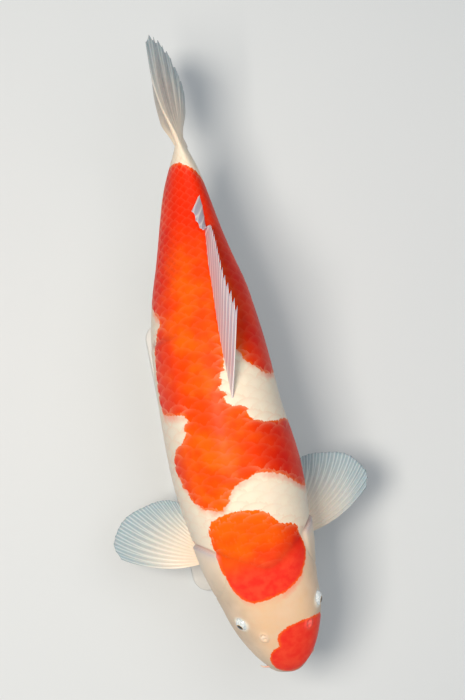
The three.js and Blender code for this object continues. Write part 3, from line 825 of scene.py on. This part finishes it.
def make_scales(name, along, angle):
    """Scales as thin closed plates. Each is a fan: its sides run back from a hidden front end
    to a round rear edge. It lies on the skin, rising backwards over the scales behind it, with
    a low dome and a lip that turns down at the rear. On the nape it sits deeper in the skin."""
    u, v = np.meshgrid(np.linspace(-1, 1, 7), np.linspace(-1, 1, 7), indexing="ij")
    pitch = pitch_at(along)[:, None, None]
    row_gap = girth_radius(along)[:, None, None] * 2 * pi / SCALE_ROWS
    draw = np.random.default_rng(7)
    odd = draw.uniform(-1, 1, (3, len(along), 1, 1))
    round_rear = 0.8 * np.sqrt(1 - 0.94 * v**2)
    front = -0.62 * np.sqrt(1 - 0.6 * v**2)
    back = (front + (round_rear - front) * (u + 1) / 2) * pitch * (1 + 0.03 * odd[0])
    aside = v * row_gap * 1.06 * (1 + 0.02 * odd[1])
    proud = 0.7 + 0.3 * ease(along, 150, 270)[:, None, None]
    top = -0.25 + SCALE_RISE * proud * (back + 0.62 * pitch) * (1 + 0.08 * odd[2])
    top = top + proud * (0.14 * (1 - v**2) * (1 - u**2) - 0.1 * np.clip(u, 0, 1) ** 6)
    s = along[:, None, None] + back
    a = angle[:, None, None] + aside / girth_radius(along)[:, None, None]
    lift = top - COAT_DEPTH + flank_fold(s, a) + muscle(s, a) + tuck(s, a)

    edge = (np.abs(u) == 1) | (np.abs(v) == 1)
    under = lift - SCALE_THICKNESS
    upper_body = over_tail_root(flank(s, a, lift))
    lower_body = over_tail_root(flank(s, a, under))
    lower_index = np.where(edge, -1, np.cumsum(~edge).reshape(u.shape) - 1)
    total = u.size + np.count_nonzero(~edge)
    grid = np.arange(u.size).reshape(u.shape)
    lower_grid = np.where(edge, grid, u.size + lower_index)

    plate = np.vstack([sheet_quads(grid), sheet_quads(lower_grid)[:, ::-1]])
    body = np.concatenate([upper_body.reshape(len(along), -1, 3), lower_body[:, ~edge]], 1)
    world = placed(body)
    faces = (plate[None] + (np.arange(len(along)) * total)[:, None, None]).reshape(-1, 4).tolist()

    def spread_over(numbers):
        full = np.broadcast_to(numbers, s.shape)
        return np.concatenate([full.reshape(len(along), -1), full[:, ~edge]], 1)

    values = marking_values(s, a)
    middle = red_distance(along + 0.3 * pitch_at(along), angle)[:, None, None]
    values["red"] = values["red"] + 0.2 * (middle - values["red"])
    values["rim"] = np.clip(np.hypot(np.clip(u + 0.25, 0, 2) / 1.25, v * 0.9), 0, 1) ** 5
    map_place = np.stack([0.5 + angle[:, None, None] / (2.1 * pi) + 0 * s + 0.0015 * v,
                          0.02 + along[:, None, None] / 640 + 0 * s + 0.0015 * u], -1)
    flat_map = np.concatenate([map_place.reshape(len(along), -1, 2), map_place[:, ~edge]], 1)
    values = {key: spread_over(numbers) for key, numbers in values.items()}
    flat_map = flat_map.reshape(-1, 2)
    add_piece(name, world, faces, SCALE_SKIN, values, flat_map, sharp=40)


along, angle = scale_places()
for name, chosen in (("scales_left", angle > 0), ("scales_right", angle <= 0)):
    make_scales(name, along[chosen], angle[chosen])


def make_lateral_line():
    """The lateral line: a small raised pore, a low dome, on each scale of one row a side."""
    places, rows = scale_places()
    chosen = np.abs(np.abs(rows) - LATERAL_ROW) < 0.01
    places, rows = places[chosen], rows[chosen]
    turn, out = np.meshgrid(np.linspace(0, 2 * pi, 8, endpoint=False), [1.0, 0.8, 0.45], indexing="xy")
    length = 0.1 * pitch_at(places)[:, None, None]
    s = places[:, None, None] + 0.25 * pitch_at(places)[:, None, None] + length * 2 * out * np.cos(turn)
    a = rows[:, None, None] + length * out * np.sin(turn) / girth_radius(s)
    rise = SCALE_RISE * 0.87 * pitch_at(s) - COAT_DEPTH - 0.3
    lift = rise + 0.55 * np.sqrt(1 - out**2) + flank_fold(s, a) + muscle(s, a)
    domes = placed(over_tail_root(flank(s, a, lift))).reshape(len(places), -1, 3)
    tops = domes[:, 16:].mean(1, keepdims=True)
    bases = domes[:, :8].mean(1, keepdims=True)
    points = np.concatenate([domes, bases, tops], 1)
    one = ring_faces(3, 8, 24, 25)
    faces = [[i * 26 + k for k in face] for i in range(len(places)) for face in one]
    line_places = np.repeat(places, 26)
    line_angles = np.repeat(rows, 26)
    values = marking_values(line_places, line_angles)
    # Each pore gets a little more of the painted shade.
    values["painted_shade"] = values["painted_shade"] + 0.25
    flat_map = np.stack([0.5 + line_angles / (2.1 * pi), 0.02 + line_places / 640], -1)
    flat_map = flat_map + 0.001 * np.tile([np.append(np.tile(np.cos(turn[0]), 3), [0, 0]),
                                           np.append(np.tile(np.sin(turn[0]), 3), [0, 0])], len(places)).T
    add_piece("lateral_line", points, faces, SCALE_SKIN, values, flat_map)


make_lateral_line()

# ---- eyes and barbels -----------------------------------------------------------------


def make_eye(name, side):
    """An eyeball turned about its gaze, with the clear cornea bulging a little over the iris."""
    gaze = unit(np.array([0.81 * side, -0.48, 0.36]))
    up = unit(np.cross(gaze, (0, 1, 0)))
    aside = np.cross(gaze, up)
    round_gaze = np.linspace(0, 2 * pi, 48, endpoint=False)
    tip, turn = np.meshgrid(np.linspace(0, pi, 34)[1:-1], round_gaze, indexing="ij")
    radius = EYE_RADIUS * (1 + 0.025 * bell(tip, 0.5))
    ball = (np.cos(tip)[..., None] * gaze + (np.sin(tip) * np.cos(turn))[..., None] * up
            + (np.sin(tip) * np.sin(turn))[..., None] * aside) * radius[..., None]
    centre = EYE * (side, 1, 1)
    ends = np.array([gaze * EYE_RADIUS * 1.025, -gaze * EYE_RADIUS])
    points = np.vstack([ball.reshape(-1, 3), ends]) + centre
    world = placed(points)
    faces = ring_faces(*tip.shape, len(points) - 2, len(points) - 1)
    values = {"gaze": np.append(np.degrees(tip).ravel(), [0, 180])}
    eye = add_piece(name, world, faces, EYE_GLASS, values)
    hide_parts(name)


def make_barbel(name, side, root, out, back, down, thick):
    """A barbel: a round taper that curves out, down and back from beside the mouth, with a
    rounded tip."""
    t = np.linspace(0, 1, 30)
    outward = root[0] + out * np.sin(t * pi / 2)
    line = np.stack([side * outward, root[1] + back * t * t, root[2] - down * t], -1)
    ahead = unit(np.gradient(line, axis=0))
    across = unit(np.cross((0, 0, 1), ahead))
    up = np.cross(ahead, across)
    radius = thick * (1 - 0.6 * t) * np.sqrt(1 - ease(t, 0.9, 1.02) ** 2)
    turn = np.linspace(0, 2 * pi, 14, endpoint=False)
    rings = line[:, None] + radius[:, None, None] * (
        np.cos(turn)[None, :, None] * across[:, None] + np.sin(turn)[None, :, None] * up[:, None])
    points = np.vstack([rings.reshape(-1, 3), line[0], line[-1]])
    world = placed(points)
    faces = ring_faces(30, 14, len(points) - 2, len(points) - 1)
    values = {"out": np.append(np.repeat(t, 14), [0, 1])}
    barbel = add_piece(name, world, faces, BARBEL_SKIN, values)
    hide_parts(name)


for side_name, side in (("left", 1), ("right", -1)):
    make_eye(f"eye_{side_name}", side)
    make_barbel(f"barbel_upper_{side_name}", side, (17, 10, -21), 14, 3, 11, 1.4)
    make_barbel(f"barbel_corner_{side_name}", side, (22, 23, -33), 13, 16, 17, 1.8)

# ---- fins -----------------------------------------------------------------------------


def ray_pattern(phase, out, fork_from):
    """How bony each point is, from 0 on the web to 1 on a ray. A ray runs where phase is a whole
    number, and forks in two, each branch moving aside by a quarter of the gap."""
    off = np.abs(phase + 0.5 - np.floor(phase + 0.5) - 0.5)
    fork = 0.25 * ease(out, fork_from, 1.05)
    return bell(np.abs(off - fork), 0.13 - 0.05 * ease(out, fork_from, 1))


def make_fin(name, surface, columns, rows, phase_of, root, edge, power, relief, nodes,
             fork_from=0.4, low=0.0, shade=None, lilac=0.0, flat_root=0.0, stout=0.0):
    """A fin: a thin closed sheet on both sides of a surface given over low..1 across the rays
    and 0..1 out along them. It tapers from its root, and its rays stand up on both faces. Where
    stout is given, the outermost rays are thicker by so much near the root."""
    across, out = np.meshgrid(np.linspace(low, 1, columns), np.linspace(0, 1, rows) ** 1.1, indexing="ij")
    middle = placed(surface(across, out))
    square = np.cross(np.gradient(middle, axis=0), np.gradient(middle, axis=1))
    normal = unit(square / MM**2)
    ray = ray_pattern(phase_of(across), out, fork_from)
    root = root * np.sqrt(1 - flat_root * across**2)
    thick = edge + (root - edge) * (1 - out) ** power
    thick = np.maximum(thick - relief * (1 - ray) * (1 - 0.45 * out), 0.3)
    thick = thick + stout * ease(np.abs(across), 0.9, 0.97) * ease(out, 0, 0.15) * (1 - out)
    rim = ease(1 - out, 0, 0.02) * 0.6 + 0.4
    half = (normal * (thick * rim)[..., None]) * MM / 2
    points = np.concatenate([(middle + half).reshape(-1, 3), (middle - half).reshape(-1, 3)])

    grid = np.arange(columns * rows).reshape(columns, rows)
    top = sheet_quads(grid)
    bottom = top[:, ::-1] + grid.size
    border = np.concatenate([grid[:-1, 0], grid[-1, :-1], grid[:0:-1, -1], grid[0, :0:-1]])
    following = np.roll(border, -1)
    rim_faces = np.stack([border, border + grid.size, following + grid.size, following], -1)
    faces = np.vstack([top, bottom, rim_faces]).tolist()
    shading = np.zeros(out.shape) if shade is None else shade(across, out)
    fields = {"ray": ray, "out": out, "shade": shading, "lilac": np.full(out.shape, lilac)}
    values = {key: np.tile(numbers.ravel(), 2) for key, numbers in fields.items()}
    fin = add_piece(name, points, faces, FIN_WEB, values)
    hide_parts(*nodes)


DORSAL_FROM, DORSAL_TO, DORSAL_RAYS = 300, 532, 20
ROOT_DEPTH = 5
ray_back = smooth([
    (0, 100), (0.3, 80), (0.6, 50), (0.7, 31), (0.77, 15), (0.82, 2), (0.86, -11), (0.93, -19), (1, -21),
])
ray_rise = smooth([(0, 42), (0.3, 20), (0.6, 11), (0.77, 10), (0.82, 13), (0.88, 15), (1, 12)])
ray_lean = smooth([(0, 12), (0.3, 5), (0.6, 2.5), (0.77, 0.5), (0.82, -3), (0.86, -8), (0.93, -13), (1, -18)])


def dorsal_surface(u, v):
    """The folded dorsal fin: each ray runs from the ridge of the back by so much backwards, up
    and to the left, bowed a little, and the web between rays falls short of their tips."""
    along = DORSAL_FROM + (DORSAL_TO - DORSAL_FROM) * u
    reach = v * (1 - 0.09 * np.abs(np.sin(pi * u * (DORSAL_RAYS - 1))))
    bend = 0.06 * np.sin(pi * v)
    height = size("back", along) - ROOT_DEPTH * (1 - reach) + ray_rise(u) * (reach + bend)
    aside = 2 * ease(u, 0.2, 0.6) + 3 * ease(u, 0.6, 0.85)
    return np.stack([aside + ray_lean(u) * reach**1.2, along + ray_back(u) * (reach - bend), height], -1)


make_fin("dorsal_fin", dorsal_surface, 16 * 12 + 1, 36, lambda u: u * (DORSAL_RAYS - 1), 2.6, 0.9, 1.5, 0.7,
         ["dorsal_fin"], fork_from=0.7, lilac=1.0)

anal_back = smooth([(0, 50), (0.4, 46), (1, 36)])
anal_drop = smooth([(0, 58), (0.4, 40), (1, 14)])


def anal_surface(u, v):
    """The anal fin: short rays that fall from the belly, sweep back and curl to the left."""
    along = 446 + 45 * u
    back = v + 0.25 * v * v - 0.08 * np.sin(pi * v)
    height = size("belly", along) + ROOT_DEPTH * (1 - v) - anal_drop(u) * (v - 0.15 * v * v)
    return np.stack([8 * v * v, along + anal_back(u) * back, height], -1)


make_fin("anal_fin", anal_surface, 7 * 14 + 1, 44, lambda u: u * 7, 2.8, 0.9, 1.5, 0.6, ["anal_fin"])


def paired_surface(side, fin):
    """A paired fin: rays fan from a short root, each of its own length and turn. They sweep
    forward near the root, and the fin dips and sags outwards."""
    length = smooth(fin["lengths"])
    turn = smooth(fin["turns"])
    dip = np.radians(fin["dip"])
    root_across, root_along, root_height = fin["root"]

    def surface(u, v):
        angle = np.radians(turn(u) - fin["sweep"] * (1 - v) * (1 - 0.6 * u))
        phase = u * fin["rays"]
        reach = length(u) * v * (1 - 0.006 * np.abs(np.sin(pi * phase)) * v)
        outward = reach * np.cos(angle)
        drop = fin["sag"] * v * v + fin["trail"] * reach * np.sin(angle)
        ripple = 0.45 * np.sin(2 * pi * phase) * v + 1.2 * np.sin(2.4 * pi * u + 0.6) * v * v
        return np.stack([
            side * (root_across - fin["sink"] + (outward + fin["sink"] * v) * np.cos(dip)),
            root_along + fin["chord"] * (u - 0.5) * (1 - 0.4 * v) + reach * np.sin(angle),
            root_height - fin["slant"] * u * (1 - v) - outward * np.sin(dip) - drop + ripple,
        ], -1)

    return surface


PECTORAL = {"root": (54, 148, -48), "sink": 7, "chord": 22, "slant": 6, "sag": 5, "trail": 0.08, "rays": 16}
PECTORAL_RIGHT = {
    **PECTORAL, "dip": 14, "sweep": 21,
    "lengths": [(0, 95), (0.12, 104), (0.3, 100), (0.55, 82), (0.8, 66), (1, 46)],
    "turns": [(0, 13), (0.12, 21), (0.3, 33), (0.55, 51), (0.8, 68), (1, 82)],
}
PECTORAL_LEFT = {
    **PECTORAL, "dip": 3, "sweep": 27,
    "lengths": [(0, 96), (0.12, 105), (0.3, 104), (0.55, 89), (0.8, 72), (1, 49)],
    "turns": [(0, 17), (0.12, 25), (0.3, 36), (0.55, 53), (0.8, 71), (1, 84)],
}
PELVIC = {
    "root": (21, 292, -86), "sink": 5, "chord": 15, "slant": 2, "sag": 3, "trail": 0.1, "rays": 9,
    "dip": 50, "sweep": 12,
    "lengths": [(0, 70), (0.2, 76), (0.6, 64), (1, 38)],
    "turns": [(0, 54), (0.2, 60), (0.6, 71), (1, 85)],
}
for side_name, side, pectoral in (("left", 1, PECTORAL_LEFT), ("right", -1, PECTORAL_RIGHT)):
    name = f"pectoral_fin_{side_name}"
    make_fin(name, paired_surface(side, pectoral), 16 * 13 + 1, 64, lambda u: u * 16,
             4.6, 0.85, 1.3, 0.5, [name])
    name = f"pelvic_fin_{side_name}"
    make_fin(name, paired_surface(side, PELVIC), 9 * 13 + 1, 48, lambda u: u * 9,
             3.7, 0.85, 1.3, 0.5, [name])


def tail_surface(w, v):
    """The forked, cupped tail: rays fan up and down from the stalk's end, and fine pleats
    deepen towards the edge, where the web falls short of the rays."""
    phase = (w + 1) / 2 * TAIL_RAYS
    along = tail_reach(np.abs(w)) * v * (1 - 0.045 * np.abs(np.sin(pi * phase)) * v)
    pleat = 0.7 * np.sin(2 * pi * phase / 2) * ease(v, 0.15, 0.8)
    angle = TAIL_FAN * w
    back = BODY_LENGTH - 1 + along * np.cos(angle)
    return np.stack([tail_swing(w, along) + pleat, back, TAIL_ROOT * w + along * np.sin(angle)], -1)


def tail_shade(w, v):
    """Painted shade on the tail: a brownish tint inside the stout rays of the upper and lower
    edges, partly the fin's own colour and partly painted shade; an even painted grey shade that
    comes in away from the root; and more painted shade on the lower lobe, which lies in the
    upper lobe's shade."""
    beside_edge = 0.7 * ease(np.abs(w), 0.45, 0.85) * (1 - ease(np.abs(w), 0.88, 0.96)) * ease(v, 0.1, 0.35)
    lower = 0.45 * ease(-w, 0.3, 0.6)
    return np.clip(beside_edge * (1 - ease(v, 0.5, 1)) + (0.3 + lower) * ease(v, 0.05, 0.5), 0, 1)


make_fin("tail_fin", tail_surface, TAIL_RAYS * 12 + 1, 72, lambda w: (w + 1) / 2 * TAIL_RAYS,
         14, 0.9, 6, 0.6, ["tail_fin_upper_lobe", "tail_fin_lower_lobe"],
         low=-1.0, shade=tail_shade, flat_root=0.88, stout=2.4)

# ---- stand ----------------------------------------------------------------------------


def turned_piece(name, profile, x, y):
    """A round piece from (radius, height) pairs that start and end near its axis."""
    radius, height = np.array(profile, float).T
    turn = np.linspace(0, 2 * pi, 72, endpoint=False)
    rings = np.stack(np.broadcast_arrays(
        x + radius[:, None] * np.cos(turn), y + radius[:, None] * np.sin(turn), height[:, None]), -1)
    ends = [(x, y, height[0]), (x, y, height[-1])]
    points = np.vstack([rings.reshape(-1, 3), ends]) * MM
    faces = ring_faces(len(profile), 72, len(points) - 2, len(points) - 1)
    piece = add_piece(name, points, faces, STEEL, sharp=35)
    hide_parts(name)


def rounded(corner, radius, quarter, steps=5):
    """Points of a quarter round about a corner's centre, starting at the given quarter turn."""
    turn = (quarter + np.linspace(0, 1, steps)) * pi / 2
    return [(corner[0] + radius * np.cos(t), corner[1] + radius * np.sin(t)) for t in turn]


def make_base():
    """The base board: a rounded rectangle carried up through its thickness, with its upper and
    lower edges rounded over."""
    low, high = (np.array(c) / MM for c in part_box("stand_base"))
    half, thick = (high[:2] - low[:2]) / 2, high[2] - low[2]
    corner, bevel = 18, 1.5
    turn = np.linspace(0, pi / 2, 16)
    inset_height = [(bevel - px, pz) for px, pz in rounded((0, bevel), bevel, 3)]
    inset_height += [(bevel - px, pz) for px, pz in rounded((0, thick - bevel), bevel, 0)]
    rings = []
    for inset, z in [(30, 0.0)] + inset_height + [(30, thick)]:
        r = max(corner - inset, 0.5)
        cx, cy = half - max(corner, inset + 0.5)
        quarter = np.stack([r * np.cos(turn), r * np.sin(turn)], -1)
        a, b = quarter + (cx, cy), quarter * (-1, 1) + (-cx, cy)
        ring = np.vstack([a, b[::-1], -a, -b[::-1]])
        rings.append(np.column_stack([ring, np.full(len(ring), z)]))
    count = len(rings[0])
    points = np.vstack(rings + [[(0, 0, 0), (0, 0, thick)]]) * MM
    faces = ring_faces(len(rings), count, len(points) - 2, len(points) - 1)
    board = add_piece("stand_base", points, faces, LACQUER, sharp=35)
    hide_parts("stand_base")


make_base()
for name, along in (("front", 175), ("rear", 352)):
    x, y = float(sway_at(along)), SNOUT_PLACE + along
    belly = AXIS_HEIGHT + float(size("belly", along))
    rod_top = belly - 6
    base_top, foot_top = 14, 19
    rim = rounded((13.5, foot_top - 1.5), 1.5, 0)
    foot = [(0.1, base_top), (15, base_top)] + rim + [(6.2, foot_top), (0.1, foot_top)]
    rod = [(0.1, foot_top), (5, foot_top), (5, rod_top), (0.1, rod_top)]
    saddle = [(0.1, rod_top), (5.5, rod_top), (6, rod_top + 0.6), (10.6, rod_top + 3.6),
              (11, rod_top + 4.4), (11, belly + 3.5), (0.1, belly + 3.5)]
    turned_piece(f"stand_foot_{name}", foot, x, y)
    turned_piece(f"stand_rod_{name}", rod, x, y)
    turned_piece(f"stand_saddle_{name}", saddle, x, y)

# ---- floor, light and camera ----------------------------------------------------------


def make_floor():
    """A wide pale matt floor."""
    mesh = bpy.data.meshes.new("floor")
    far = 12.0
    mesh.from_pydata([(-far, -far, 0), (far, -far, 0), (far, far, 0), (-far, far, 0)], [], [(0, 1, 2, 3)])
    material, tree, shader = new_finish("pale_matt_floor", Roughness=0.8)
    tone = blend(tree, grain(tree, 400, 2), colour("#D9DEE1"), colour("#DEE2E4"))
    tree.links.new(tone, shader.inputs["Base Color"])
    mesh.materials.append(material)
    floor = bpy.data.objects.new("floor", mesh)
    bpy.context.scene.collection.objects.link(floor)


def add_light(name, position, target, size_m, watts, tint):
    """A square soft light that looks from its position at a target."""
    light = bpy.data.lights.new(name, "AREA")
    light.size = size_m
    light.energy = watts
    light.color = colour(tint)[:3]
    lamp = bpy.data.objects.new(name, light)
    lamp.location = position
    lamp.rotation_euler = (Vector(position) - Vector(target)).to_track_quat("Z", "Y").to_euler()
    bpy.context.scene.collection.objects.link(lamp)


def make_camera():
    """The camera looks down on the fish from 2 metres, leaning a little over its right side."""
    lean, pitch, roll = np.radians([6.176, 1.518, 11.361])
    target = Vector((0.0173, 0.1082, AXIS_HEIGHT * MM))
    back = Vector((-np.sin(lean) * np.cos(pitch), -np.sin(pitch), np.cos(lean) * np.cos(pitch)))
    up = Vector((np.sin(roll), np.cos(roll), 0))
    right = up.cross(back).normalized()
    upright = back.cross(right)
    turn = Matrix((right, upright, back)).transposed()
    data = bpy.data.cameras.new("camera")
    data.lens = 93.7
    data.sensor_width = 36
    camera = bpy.data.objects.new("camera", data)
    camera.matrix_world = Matrix.Translation(target + back * 2.0) @ turn.to_4x4()
    bpy.context.scene.collection.objects.link(camera)
    bpy.context.scene.camera = camera


make_floor()
add_light("key", (-0.7, 0.1, 2.0), (0, 0, 0.17), 0.6, 31, "#FFF5E8")
add_light("overhead", (0.3, 0.4, 2.6), (0, 0, 0.17), 1.8, 13, "#FFFFFF")
add_light("fill", (1.5, -0.6, 1.1), (0, 0, 0.17), 1.4, 1.6, "#EEF4FF")
world = bpy.data.worlds.new("studio")
world.use_nodes = True
world.node_tree.nodes["Background"].inputs["Color"].default_value = colour("#D8DEE4")
world.node_tree.nodes["Background"].inputs["Strength"].default_value = 0.38
bpy.context.scene.world = world
bpy.context.scene.view_settings.view_transform = "Standard"
make_camera()
